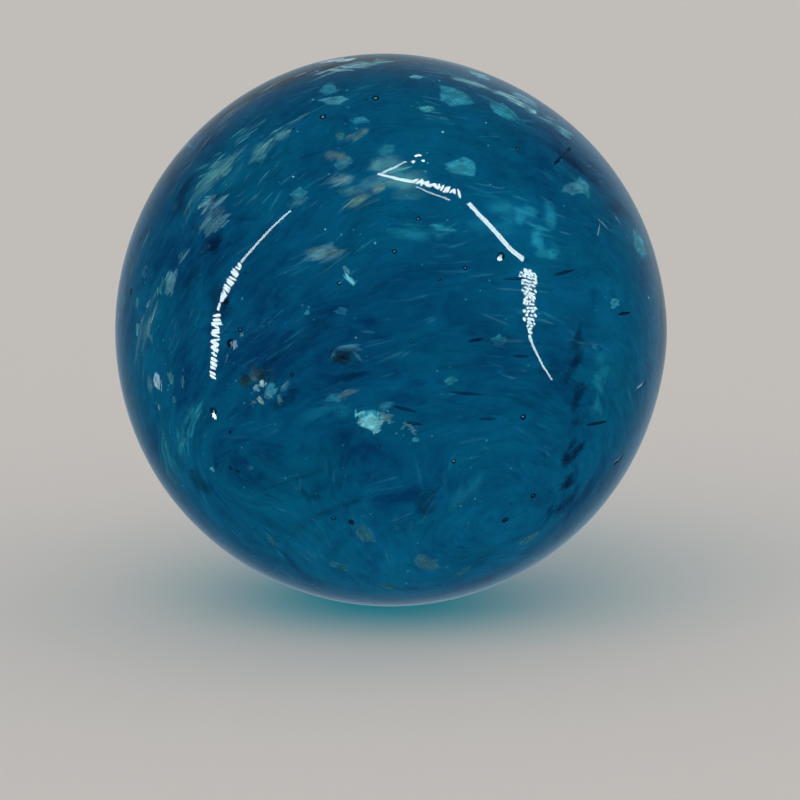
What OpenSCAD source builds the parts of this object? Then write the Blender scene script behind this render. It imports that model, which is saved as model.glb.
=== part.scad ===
// Handmade mica marble: one ball of clear teal glass with mica flakes rolled in below its skin, round
// and drawn-out seed bubbles, and the small nicks that an old marble carries.
// The origin is the middle of the ball, +Z is up and -Y is the face with the brightest flake.
// Directions on the ball are given as an azimuth, from -Y towards +X, and an elevation above the equator.

/* [Ball] */
// Diameter of the ball
ball_d = 25; // [20:0.5:40]

/* [Mica flakes] */
// Thickness of each cleaved sheet of a flake
sheet_t = 0.08; // [0.05:0.01:0.14]
// A flake has one more sheet on it for each of these lengths that it reaches, up to most_sheets
sheet_step_l = 0.8; // [0.5:0.1:1.5]
// How ragged the broken edges are, as a share of the flake's half width
ragged = 0.24; // [0:0.02:0.4]

/* [Scattered flakes] */
// Mean depth of the layer below the skin
layer_depth = 2; // [1.4:0.1:3]
// Thickness of the layer
layer_t = 1.6; // [0:0.1:1.8]
// Mean length of a flake
scatter_l = 1.3; // [0.6:0.1:2]
// Places tried over the whole ball
scatter_places = 150; // [0:10:220]
// Least distance between the middle of a flake and a placed one, along the layer
scatter_gap = 2; // [1.5:0.1:4]
// Half angle of the patch at the back that holds no flakes
bare_half_angle = 13; // [0:1:30]

/* [Seed bubbles] */
// Diameter of a middling round bubble
bubble_d = 0.28; // [0.1:0.02:0.4]
// Diameter of a drawn-out bubble
needle_d = 0.2; // [0.1:0.02:0.3]

/* [Nicks] */
// Radius across the bottom of a nick's groove
nick_r = 0.6; // [0.3:0.1:1.5]

/* [Hidden] */
$fn = 96;
ball_r = ball_d / 2;
golden_turn = 137.5;
most_sheets = 3;
bare_at = [180, -10];

// Each placed flake: azimuth, elevation, depth, length, width, turn from level, tilt about its length
crown_flakes = [
    [56, 74, 2.6, 1.9, 1.7, -30, 6],    // broad plate near the top
    [23, 69, 2.2, 1.0, 0.6, 5, -8],
    [-60, 74, 2.2, 1.3, 1.2, 84, 5],
    [26, 78, 1.0, 0.9, 0.5, 0, -4],
    [96, 71, 1.2, 1.6, 1.2, -60, 8],    // two plates that make the pale band on the right shoulder
    [88, 61, 1.2, 1.9, 1.4, -87, 10],
    [74, 57, 0.8, 0.6, 0.5, -73, 14],
    [78, 63, 2.8, 1.7, 1.2, -80, 5],
    [81, 49, 1.4, 0.9, 0.8, -56, -6],
    [-17, 66, 2.4, 1.1, 0.9, 7, -10],   // two brownish ones
    [-23, 60, 2.4, 0.6, 0.6, 8, 8],
    [-2, 56, 2.4, 1.4, 1.2, 36, -6],    // greenish plate under the crown
    [-16, 50, 1.8, 1.0, 0.9, 4, 12],
    [1, 44, 1.4, 1.2, 1.0, 10, -12],
    [30, 52, 3.0, 1.9, 1.1, 0, 6],
];
right_flakes = [
    [78, 38, 3.2, 1.5, 1.2, -40, 5],
    [57, 35, 3.6, 2.1, 1.0, 54, 8],     // tall dim plate, deep in the glass
    [88, 20, 2.6, 2.2, 1.7, 0, 4],      // round pale plate at the right edge
    [74, 28, 1.6, 1.2, 0.4, -73, -14],
    [64, 11, 2.4, 0.9, 0.6, -10, 6],
    [27, 7, 3.0, 0.9, 0.6, 7, -5],
    [15, -2, 3.0, 0.7, 0.5, -3, 8],
];
left_flakes = [
    [-69, 42, 2.0, 2.8, 1.2, 45, 6],    // pale streaked plates on the left shoulder
    [-68, 55, 2.0, 2.1, 1.0, 80, -6],
    [-55, 35, 1.0, 1.2, 0.5, 20, -10],
    [-53, 31, 1.6, 1.6, 0.7, 67, 8],
    [-29, 42, 2.2, 1.0, 0.8, 25, 5],
    [-62, 15, 1.6, 1.2, 0.9, -66, -5],
    [-56, 22, 1.0, 0.7, 0.3, -55, 10],
    [-71, 16, 1.4, 1.0, 0.5, -50, 6],
    [-72, 9, 1.4, 0.7, 0.5, -65, -8],
    [-71, 4, 1.6, 0.9, 0.5, -80, 6],
    [-64, 3, 1.6, 0.6, 0.4, -60, 12],
    [-61, -6, 0.6, 1.2, 0.8, 88, -4],   // pale oval close under the skin
    [-55, -4, 1.2, 0.8, 0.5, 88, 8],
    [-55, -9, 1.4, 0.5, 0.4, 80, -8],
    [-59, -11, 0.8, 0.5, 0.3, 85, 6],
    [-65, -21, 1.8, 1.9, 0.4, 78, 25],  // sheets seen nearly on edge, low on the left
    [-57, -20, 1.8, 1.5, 0.3, 35, -25],
    [-70, -30, 1.6, 0.9, 0.8, 70, 10],
];
face_flakes = [
    [-33, -2, 1.4, 1.0, 0.9, 5, 14],    // crumpled group
    [-29, -3, 0.8, 0.5, 0.4, -31, -16],
    [-30, -6, 0.8, 0.6, 0.3, 34, 12],
    [-29, -5, 2.4, 1.1, 0.5, 68, 10],
    [-17, 28, 1.8, 2.4, 0.8, 24, -10],  // long brownish streak
    [-10, 23, 1.0, 0.8, 0.3, -65, 16],
    [-12, 15, 2.8, 0.7, 0.4, 2, -8],
    [-20, 14, 2.4, 0.4, 0.3, 4, 6],
    [-11, 4, 2.0, 1.5, 0.8, 2, 16],     // shell shaped plate
    [-13, -6, 2.6, 0.9, 0.6, 2, -10],
    [-5, -9, 1.6, 1.3, 1.0, 89, 10],    // the brightest flake
    [-1, -7, 2.2, 0.9, 0.6, 13, -10],
    [3, -12, 2.0, 0.5, 0.3, 47, 12],
    [6, -15, 2.0, 0.5, 0.3, 33, -10],
];
placed_flakes = concat(crown_flakes, right_flakes, left_flakes, face_flakes);

// Each round bubble: azimuth, elevation, depth, and its size against a middling one
bubbles = [
    [26, 25, 0.4, 1.3], [-40, -9, 0.4, 1.4], [29, -9, 0.5, 1.0], [1, 27, 0.6, 0.8], [17, 23, 0.5, 0.7],
    [11, 21, 0.7, 0.6], [-35, 6, 0.4, 1.5], [-33, 9, 0.5, 0.8], [-11, 20, 0.4, 0.7], [-29, 60, 0.5, 1.1],
    [-8, 68, 0.6, 1.2], [7, 34, 0.5, 0.8], [45, 49, 0.6, 0.7], [14, -18, 0.6, 0.8], [-22, 0, 1.6, 0.7],
    [38, -30, 1.2, 0.9], [-15, -35, 1.4, 0.8], [5, 8, 2.2, 0.6], [100, 15, 0.6, 1.0], [135, -20, 0.6, 1.2],
    [170, 40, 0.5, 0.9], [-150, -35, 0.6, 1.1], [-120, 20, 0.5, 0.8], [-95, -50, 0.6, 0.9],
];

// Each drawn-out bubble: azimuth, elevation, depth, length, turn from level
needles = [
    [16, -3, 0.6, 1.6, -8], [3, -6, 0.7, 1.2, -16], [5, -9, 0.5, 0.8, -10], [50, -13, 0.5, 1.5, -2],
    [59, 9, 0.5, 1.1, -4], [21, -9, 0.8, 0.8, -4], [28, 20, 0.5, 1.0, -5], [42, 20, 0.6, 1.3, 4],
    [18, 8, 0.5, 0.7, 6], [28, 4, 0.5, 0.8, -8], [110, -8, 0.6, 1.2, 10], [150, 12, 0.5, 1.4, -20],
    [-140, 5, 0.6, 1.0, 15], [-105, -12, 0.5, 1.1, -10],
];

// Each nick in the skin: azimuth, elevation, turn from level, and how deep it is
nicks = [
    [70, -8, 40, 0.02], [66, -27, 50, 0.015], [-100, 30, 50, 0.03], [140, 5, -30, 0.03],
    [-170, -25, 15, 0.025], [95, -40, 70, 0.02],
];

// Unit vector in a direction on the ball
function aim(az, el) = [sin(az) * cos(el), -cos(az) * cos(el), sin(el)];

// Places along a spiral from pole to pole: azimuth and elevation
function spiral(i) = [(i * golden_turn) % 360, asin(1 - (2 * i + 1) / scatter_places)];

// The open side of the ball holds only the placed flakes, and a scattered one keeps clear of them all
function on_hidden_side(v) = v[1] > 0.25 || v[2] < -0.62;
function off_bare_patch(v) = v * aim(bare_at[0], bare_at[1]) < cos(bare_half_angle);
function clear_of(v, taken) =
    len([for (t = taken) if (norm(v - t) * (ball_r - layer_depth) < scatter_gap) 1]) == 0;
placed_aims = [for (f = placed_flakes) aim(f[0], f[1])];
scatter_l_factors = rands(0.5, 1.5, max(scatter_places, 1), 11);
scatter_w_factors = rands(0.5, 0.85, max(scatter_places, 1), 12);
scatter_depths = rands(-0.5, 0.5, max(scatter_places, 1), 13);
scatter_turns = rands(-90, 90, max(scatter_places, 1), 14);
scatter_tilts = rands(-12, 12, max(scatter_places, 1), 15);
scattered_flakes = [
    for (i = [0:1:scatter_places - 1])
        let (p = spiral(i), v = aim(p[0], p[1]), l = scatter_l * scatter_l_factors[i])
            if (on_hidden_side(v) && off_bare_patch(v) && clear_of(v, placed_aims))
                [p[0], p[1], layer_depth + layer_t * scatter_depths[i],
                 l, l * scatter_w_factors[i], scatter_turns[i], scatter_tilts[i]]
];

// Puts what is drawn on the XY plane at a depth below the skin, facing out
module at_skin(az, el, depth) {
    rotate([90 - el, 0, az])
        translate([0, 0, ball_r - depth])
            children();
}

// Broken outline of one mica sheet: a stretched polygon with corners knocked in
module broken_outline(length, width, seed) {
    corners = length > sheet_step_l ? 10 : 7;
    knock = rands(1 - ragged * 1.5, 1, corners, seed);
    slip = rands(-9, 9, corners, seed + 500);
    polygon([
        for (i = [0:corners - 1])
            let (a = 360 * i / corners + slip[i])
                [length / 2 * knock[i] * cos(a), width / 2 * knock[i] * sin(a)]
    ]);
}

// One flake lying level with its middle at the origin: each sheet is smaller than the one that it is
// cleaved from, lies a little to one side and starts half a sheet down in it
module flake(length, width, seed) {
    for (k = [0:min(floor(length / sheet_step_l), most_sheets - 1)])
        translate([length * 0.06 * k, 0, sheet_t * k / 2])
            linear_extrude(sheet_t)
                broken_outline(length * (1 - 0.3 * k), width * (1 - 0.3 * k), seed + 100 * k);
}

// Every flake where it lies; the glass is cut by the same shapes, so it closes on them all round
module all_flakes() {
    flakes = concat(placed_flakes, scattered_flakes);
    for (i = [0:len(flakes) - 1])
        let (f = flakes[i])
            at_skin(f[0], f[1], f[2] + sheet_t)
                rotate([0, 0, f[5]])
                    rotate([f[6], 0, 0])
                        flake(f[3], f[4], i + 1);
}

module round_bubbles() {
    for (b = bubbles)
        at_skin(b[0], b[1], b[2] + bubble_d * b[3] / 2)
            sphere(d = bubble_d * b[3], $fn = 24);
}

// A spindle along X with blunt ends, as a bubble takes when the glass is drawn
module spindle(length) {
    rings = 8;
    rotate([0, 90, 0])
        rotate_extrude($fn = 24)
            polygon([
                for (k = [0:rings])
                    [needle_d / 2 * sqrt(max(0, sin(180 * k / rings))), length * (k / rings - 0.5)]
            ]);
}

module needle_bubbles() {
    for (n = needles)
        at_skin(n[0], n[1], n[2] + needle_d / 2)
            rotate([0, 0, n[4]])
                spindle(n[3]);
}

// A groove that runs as far as the ball's own curve lets it
module skin_nicks() {
    for (n = nicks)
        at_skin(n[0], n[1], n[3] - nick_r)
            rotate([0, 90, n[2]])
                cylinder(r = nick_r, h = ball_r / 2, center = true, $fn = 48);
}

module glass_ball() {
    color([0.02, 0.3, 0.42, 0.55])
        difference() {
            sphere(r = ball_r);
            all_flakes();
            round_bubbles();
            needle_bubbles();
            skin_nicks();
        }
}

module mica_flakes() {
    color([0.55, 0.78, 0.74])
        all_flakes();
}

glass_ball();
mica_flakes();
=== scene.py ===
import math

import bmesh
import bpy
import numpy as np
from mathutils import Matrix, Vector, noise


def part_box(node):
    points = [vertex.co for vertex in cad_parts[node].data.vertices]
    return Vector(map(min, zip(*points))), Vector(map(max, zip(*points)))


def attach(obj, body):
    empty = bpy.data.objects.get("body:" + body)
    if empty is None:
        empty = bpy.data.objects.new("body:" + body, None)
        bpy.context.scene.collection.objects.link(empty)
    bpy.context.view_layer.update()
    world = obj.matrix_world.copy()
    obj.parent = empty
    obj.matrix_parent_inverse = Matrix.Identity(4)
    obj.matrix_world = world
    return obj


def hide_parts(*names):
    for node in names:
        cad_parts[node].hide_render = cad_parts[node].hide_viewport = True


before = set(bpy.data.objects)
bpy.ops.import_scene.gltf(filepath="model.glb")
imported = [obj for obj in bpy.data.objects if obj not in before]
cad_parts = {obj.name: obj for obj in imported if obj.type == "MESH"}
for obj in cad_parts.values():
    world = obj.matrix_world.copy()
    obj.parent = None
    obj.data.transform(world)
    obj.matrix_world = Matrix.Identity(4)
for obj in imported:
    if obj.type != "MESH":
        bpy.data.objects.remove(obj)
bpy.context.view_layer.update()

mm = 0.001
rng = np.random.default_rng(25)

ballLow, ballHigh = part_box("glass_ball")
ballCentre = (ballLow + ballHigh) / 2
ballRadius = (ballHigh.z - ballLow.z) / 2
floorHeight = ballLow.z


# A direction on the ball: azimuth runs from -Y towards +X, elevation up from the equator, in degrees
def aim(azimuth, elevation):
    a, e = math.radians(azimuth), math.radians(elevation)
    return Vector((math.sin(a) * math.cos(e), -math.cos(a) * math.cos(e), math.sin(e)))


# The two directions in the skin at a place on the ball: along a turn from level, and across it
def alongAndAcross(out, turn):
    level = Vector((-out.y, out.x, 0)).normalized()
    up = out.cross(level)
    t = math.radians(turn)
    along = level * math.cos(t) + up * math.sin(t)
    return along, out.cross(along)


def randomAim():
    height = rng.uniform(-1, 1)
    around = rng.uniform(0, math.tau)
    flat = math.sqrt(1 - height * height)
    return Vector((flat * math.cos(around), flat * math.sin(around), height))


def setValues(mesh, name, kind, field, values):
    attribute = mesh.attributes.new(name, kind, "POINT")
    attribute.data.foreach_set(field, np.array(values, dtype=np.float32).ravel())


def meshOf(bm, name):
    mesh = bpy.data.meshes.new(name)
    bm.to_mesh(mesh)
    bm.free()
    return mesh


def placeMesh(mesh, material):
    mesh.materials.append(material)
    placed = bpy.data.objects.new(mesh.name, mesh)
    bpy.context.scene.collection.objects.link(placed)
    return placed


# A place under the skin of the ball
def under(out, depth):
    return ballCentre + out * (ballRadius - depth)


# The points of a mica piece, each with its tint, edge and grain, and its faces, while it is put together
class Batch:
    def __init__(self):
        self.points, self.faces = [], []

    def addPoint(self, *point):
        self.points.append(point)
        return len(self.points) - 1

    # closes the gap between each ring of points and the next; a ring of one point is a tip
    def joinRings(self, rings):
        count = max(len(ring) for ring in rings)
        for lower, upper in zip(rings, rings[1:]):
            for k in range(count):
                quad = [lower[k % len(lower)], upper[k % len(upper)],
                        upper[(k + 1) % len(upper)], lower[(k + 1) % len(lower)]]
                self.faces.append(list(dict.fromkeys(quad)))

    def makePiece(self, name):
        places, tints, edges, grains = zip(*self.points)
        mesh = bpy.data.meshes.new(name)
        mesh.from_pydata(places, [], self.faces)
        setValues(mesh, "tint", "FLOAT_COLOR", "color", tints)
        setValues(mesh, "edge", "FLOAT", "value", edges)
        setValues(mesh, "grain", "FLOAT_VECTOR", "vector", grains)
        mesh.shade_smooth()
        return placeMesh(mesh, micaPearl)


def newMaterial(name):
    material = bpy.data.materials.new(name)
    material.use_nodes = True
    material.node_tree.nodes.clear()
    return material, material.node_tree


# Gives each named or numbered socket of a node its value or its link
def fillSockets(tree, node, sockets):
    for socket, value in sockets.items():
        if isinstance(value, bpy.types.NodeSocket):
            tree.links.new(value, node.inputs[socket])
        else:
            node.inputs[socket].default_value = value


def addNode(tree, kind, sockets):
    node = tree.nodes.new(kind)
    fillSockets(tree, node, sockets)
    return node


def mathNode(tree, operation, first, second, clamp=False):
    node = addNode(tree, "ShaderNodeMath", {0: first, 1: second})
    node.operation = operation
    node.use_clamp = clamp
    return node.outputs["Value"]


def rangeNode(tree, sockets, interpolation="LINEAR"):
    node = addNode(tree, "ShaderNodeMapRange", sockets)
    node.interpolation_type = interpolation
    return node.outputs["Result"]


def mixNode(tree, share, first, second, blend="MIX"):
    node = tree.nodes.new("ShaderNodeMix")
    node.data_type = "RGBA"
    node.blend_type = blend
    fillSockets(tree, node, {"Factor": share, "A": first, "B": second})
    return node.outputs["Result"]


def attributeNode(tree, name):
    node = tree.nodes.new("ShaderNodeAttribute")
    node.attribute_name = name
    return node.outputs


# The closed shells of a CAD node, each as an array of its points and a list of its faces
def shellsOf(node):
    bm = bmesh.new()
    bm.from_mesh(node.data)
    bmesh.ops.remove_doubles(bm, verts=bm.verts, dist=0.001 * mm)
    bm.verts.ensure_lookup_table()
    seen = set()
    shells = []
    for start in bm.verts:
        if start.index in seen:
            continue
        seen.add(start.index)
        members, waiting = [], [start]
        while waiting:
            vert = waiting.pop()
            members.append(vert)
            for edge in vert.link_edges:
                other = edge.other_vert(vert)
                if other.index not in seen:
                    seen.add(other.index)
                    waiting.append(other)
        number = {vert.index: k for k, vert in enumerate(members)}
        faces = {face for vert in members for face in vert.link_faces}
        corners = sorted([number[vert.index] for vert in face.verts] for face in faces)
        shells.append((np.array([vert.co for vert in members]), corners))
    bm.free()
    return shells


fibreSockets = ("Scale", "Stretch", "Low", "High")


# Fibres drawn out along the first two axes of the grain, as a mask from 0 to 1
def makeFibreGroup():
    group = bpy.data.node_groups.new("fibreMask", "ShaderNodeTree")
    face = group.interface
    face.new_socket(name="Grain", in_out="INPUT", socket_type="NodeSocketVector")
    for name in fibreSockets:
        face.new_socket(name=name, in_out="INPUT", socket_type="NodeSocketFloat")
    face.new_socket(name="Mask", in_out="OUTPUT", socket_type="NodeSocketFloat")
    given = group.nodes.new("NodeGroupInput").outputs
    drawn = addNode(group, "ShaderNodeCombineXYZ", {"X": given["Stretch"], "Y": given["Stretch"], "Z": 1})
    squeeze = addNode(group, "ShaderNodeVectorMath", {0: given["Grain"], 1: drawn.outputs[0]})
    squeeze.operation = "DIVIDE"
    cloud = addNode(group, "ShaderNodeTexNoise", {"Vector": squeeze.outputs[0], "Scale": given["Scale"],
                                                  "Detail": 4, "Roughness": 0.6, "Distortion": 0.8})
    mask = rangeNode(group, {
        "Value": cloud.outputs["Fac"], "From Min": given["Low"], "From Max": given["High"]}, "SMOOTHSTEP")
    addNode(group, "NodeGroupOutput", {"Mask": mask})
    return group


# One layer of fibres: scale per mm, how drawn out they are, and where the mask starts and ends
def addFibres(tree, grain, layer):
    node = tree.nodes.new("ShaderNodeGroup")
    node.node_tree = fibreGroup
    fillSockets(tree, node, {"Grain": grain, **dict(zip(fibreSockets, layer))})
    return node.outputs["Mask"]


fibreGroup = makeFibreGroup()

cameraSetup = {
    "distance": 250 * mm,
    "elevation": 10.5,
    "lens": 247.8,
    "yaw": -0.106,      # degrees left of the ball's middle
    "pitch": -0.724,    # degrees below it
    "sensor": 36,
    "clip": (10 * mm, 5),
}


def makeCamera(setup):
    camera = bpy.data.cameras.new("studioCamera")
    camera.lens = setup["lens"]
    camera.sensor_width = setup["sensor"]
    camera.clip_start, camera.clip_end = setup["clip"]
    holder = bpy.data.objects.new("studioCamera", camera)
    bpy.context.scene.collection.objects.link(holder)
    holder.location = ballCentre + aim(0, setup["elevation"]) * setup["distance"]
    tip = math.radians(90 - setup["elevation"] + setup["pitch"])
    holder.rotation_euler = (tip, 0, math.radians(setup["yaw"]))
    bpy.context.scene.camera = holder


makeCamera(cameraSetup)
print("camera: ready")

# The hot glass was twisted about one axis as it was rolled, so mica and veins run in circles round it
flowForm = {
    "axis": (-156, 32),
    "waver": 0.6 * mm,
    "waverSize": 3 * mm,
    # eddies that bend the flow: azimuth, elevation, lift, reach in degrees
    "eddies": [
        (-38, -20, -4.0 * mm, 13),
        (-21, -8, -2.6 * mm, 26),
        (-38, 76, -4.0 * mm, 46),
        (130, 20, 2.0 * mm, 18),
        (-130, -20, -2.0 * mm, 18),
        (10, -25, 1.2 * mm, 9),
        (38, -36, -1.2 * mm, 9),
        (20, -18, -1.0 * mm, 8),
        (30, -48, 1.0 * mm, 9),
        (46, -22, -0.8 * mm, 8),
    ],
}
flowAxis = aim(*flowForm["axis"])
flowSide = flowAxis.orthogonal().normalized()
flowAhead = flowAxis.cross(flowSide)
eddies = [(aim(azimuth, elevation), lift, reach) for azimuth, elevation, lift, reach in flowForm["eddies"]]


# How far a place on the ball lies along the axis of the flow: a vein keeps to one level
def flowLevel(out):
    level = ballRadius * math.asin(max(-1, min(1, out.dot(flowAxis))))
    level += flowForm["waver"] * noise.noise(out * (ballRadius / flowForm["waverSize"]))
    for middle, lift, reach in eddies:
        level += lift * math.exp(-(math.degrees(out.angle(middle)) / reach) ** 2)
    return level


# The direction of the flow in the skin
def flowAlong(out):
    step = 0.01
    side = out.orthogonal().normalized()
    up = out.cross(side)
    here = flowLevel(out)
    slope = (side * (flowLevel((out + side * step).normalized()) - here)
             + up * (flowLevel((out + up * step).normalized()) - here))
    return out.cross(slope).normalized()


# Grain of the glass at a place, in mm: two axes along the flow and one across it
def grainOf(place):
    return (place.dot(flowSide) / mm, place.dot(flowAhead) / mm, flowLevel(place.normalized()) / mm)


glassForm = {
    "subdivisions": 7,
    # where the ball stands proud of round or falls short: azimuth, elevation, height, reach in degrees
    "swells": [
        (-117, 67, 0.10 * mm, 28),
        (107, 58, -0.08 * mm, 24),
        (90, 0, 0.06 * mm, 10),
        (-90, 0, -0.04 * mm, 25),
        (20, -55, 0.05 * mm, 20),
        (175, 15, -0.06 * mm, 25),
    ],
    "ripple": 0.008 * mm,
    "rippleSize": 3.5 * mm,
    # nicks in the skin: azimuth, elevation, turn from level, length, width, depth
    "nicks": [
        (64, -7, 14, 1.0 * mm, 0.20 * mm, 0.02 * mm),
        (62, -23, 27, 0.8 * mm, 0.16 * mm, 0.02 * mm),
        (-100, 30, 50, 1.4 * mm, 0.25 * mm, 0.03 * mm),
        (140, 5, -30, 1.4 * mm, 0.25 * mm, 0.03 * mm),
        (-170, -25, 15, 1.2 * mm, 0.22 * mm, 0.01 * mm),
        (95, -40, 70, 1.1 * mm, 0.20 * mm, 0.02 * mm),
    ],
    "needleWidth": 0.65,     # how wide the bright bore of a drawn-out bubble is in its channel
    "seedBubbles": 90,
    "seedSizes": (0.02 * mm, 0.06 * mm),
    "seedDepths": (0.3 * mm, 3.5 * mm),
    "drawnOut": 2,           # a bubble at least so many times as long as wide is a drawn-out one
    "ior": 1.5,
    "absorbColour": (0.0, 0.84, 0.908, 1),
    "absorbDensity": 300.0,
    "deepTint": (0.03, 0.10, 0.26, 1),
    "clearTint": (0.45, 0.74, 0.98, 1),
    "greenTint": (0.5, 0.74, 0.80, 1),
    # layers of cloud and streak: (scale per mm, how drawn out, low, high) and share
    "layers": [
        ((0.25, 1.3, 0.35, 0.65), 0.20),
        ((0.8, 1.8, 0.35, 0.65), 0.35),
        ((2.0, 2.8, 0.3, 0.7), 0.30),
        ((5.0, 3.5, 0.3, 0.7), 0.15),
    ],
    "greenLayer": (0.5, 1.6, 0.45, 0.7),
    "hairLayer": (2.2, 8.0, 0.54, 0.72),
    "hairDepth": 0.18,
    # bright and dark clouds in the glass, and one painted highlight: azimuth, elevation, reach in degrees,
    # strength
    "cloudsAndHighlight": [
        (36, 30, 8, 0.36), (25, 32, 8, 0.3), (31, 16, 9, 0.25), (8, 48, 10, 0.2), (-45, 24, 9, -0.35),
        (-60, 22, 8, -0.3), (-66, 45, 8, -0.25), (66, 42, 8, -0.3), (-12, 10, 10, -0.25),
        (-29, 4, 6, -0.25), (43, -8, 6, -0.15), (42, -20, 6, -0.15), (-7, -12, 7, -0.25),
        (24, -14, 8, 0.15), (36, 2, 5, -0.3), (11, -26, 12, 0.1), (9, 16, 8, -0.1), (50, 10, 8, 0.15),
        (-28, 15, 8, -0.35), (-28, 3, 7, -0.3), (-48, -2, 7, -0.4), (-48, 6, 6, -0.2),
        (22, 5, 8, -0.25), (42, 12, 6, -0.25), (2, 33, 8, 0.25), (3, 42, 7, 0.35), (43, 40, 6, -0.25),
        (-2, -16, 6, -0.3), (3, -26, 7, -0.3), (52, -31, 7, -0.45), (-38, -19, 9, -0.2),
        (-27, -16, 8, -0.25), (-42, 24, 6, -0.15), (-12, 1, 6, -0.2), (-52, 40, 6, 0.15),
        # painted highlight: this bright cloud clears the glass over the cyan flake so that it shows
        # brighter than the lamps light it
        (-4, -7, 3, 0.7),
        (100, 20, 12, 0.2), (130, -15, 10, -0.25), (-130, 30, 12, 0.2), (-100, -15, 10, -0.25),
        (160, 50, 12, 0.2), (-160, -45, 12, -0.2),
    ],
    "calmPatch": (180, -10.5, 22),    # azimuth, elevation and reach of the even glass at the back
    "calmValue": 0.6,
}


def makeGlass(form):
    material, tree = newMaterial("tealGlass")
    grain = attributeNode(tree, "grain")["Vector"]
    calm = attributeNode(tree, "calm")["Fac"]
    mask = 0.0
    for layer, share in form["layers"]:
        part = mathNode(tree, "MULTIPLY", addFibres(tree, grain, layer), share)
        mask = mathNode(tree, "ADD", mask, part)
    mask = mathNode(tree, "ADD", mask, attributeNode(tree, "cloud")["Fac"], clamp=True)
    even = rangeNode(tree, {"Value": calm, "To Min": mask, "To Max": form["calmValue"]})
    green = mixNode(tree, addFibres(tree, grain, form["greenLayer"]), form["clearTint"], form["greenTint"])
    tint = mixNode(tree, even, form["deepTint"], green)
    loud = mathNode(tree, "MULTIPLY", mathNode(tree, "SUBTRACT", 1.0, calm), form["hairDepth"])
    dark = mathNode(tree, "MULTIPLY", addFibres(tree, grain, form["hairLayer"]), loud)
    shader = addNode(tree, "ShaderNodeBsdfPrincipled", {
        "Base Color": mixNode(tree, dark, tint, form["deepTint"]), "Roughness": 0.0,
        "IOR": form["ior"], "Transmission Weight": 1.0})
    # light falls straight through the skin on to the mica
    clear = tree.nodes.new("ShaderNodeBsdfTransparent")
    path = tree.nodes.new("ShaderNodeLightPath")
    mix = addNode(tree, "ShaderNodeMixShader", {
        0: path.outputs["Is Shadow Ray"], 1: shader.outputs["BSDF"], 2: clear.outputs["BSDF"]})
    absorb = addNode(tree, "ShaderNodeVolumeAbsorption", {
        "Color": form["absorbColour"], "Density": form["absorbDensity"]})
    addNode(tree, "ShaderNodeOutputMaterial", {
        "Surface": mix.outputs["Shader"], "Volume": absorb.outputs["Volume"]})
    return material


# How far the skin stands from a true sphere in a direction
def swellAt(out, form):
    height = form["ripple"] * noise.noise(out * (ballRadius / form["rippleSize"]))
    for azimuth, elevation, rise, reach in form["swells"]:
        angle = math.degrees(out.angle(aim(azimuth, elevation)))
        height += rise * math.exp(-(angle / reach) ** 2)
    return height


def nickAt(place, out, nick):
    azimuth, elevation, turn, length, width, depth = nick
    middle = aim(azimuth, elevation)
    if out.dot(middle) < 0.9:      # too far off to be touched by it
        return 0
    along, across = alongAndAcross(middle, turn)
    x = place.dot(along) / (length / 2)
    y = place.dot(across) / (width / 2)
    return -depth * math.exp(-(x ** 4) - y * y)


# Bubbles in the glass that the CAD holds: its inner shells that aren't the pocket of a flake
def bubbleShells(flakeMiddles):
    shells = shellsOf(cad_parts["glass_ball"])
    bubbles = []
    for points, faces in shells:
        middle = (points.min(axis=0) + points.max(axis=0)) / 2
        isSkin = np.ptp(points[:, 0]) > ballRadius
        isPocket = np.min(np.linalg.norm(flakeMiddles - middle, axis=1)) < 0.01 * mm
        if isSkin or isPocket:
            continue
        spread = np.linalg.eigh(np.cov((points - middle).T))[1]
        along = spread[:, 2]
        rise = np.outer((points - middle) @ along, along)
        if np.ptp(points @ along) > glassForm["drawnOut"] * np.ptp(points @ spread[:, 0]):
            points = middle + rise + (points - middle - rise) * glassForm["needleWidth"]
        bubbles.append((points, faces))
    return bubbles


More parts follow.
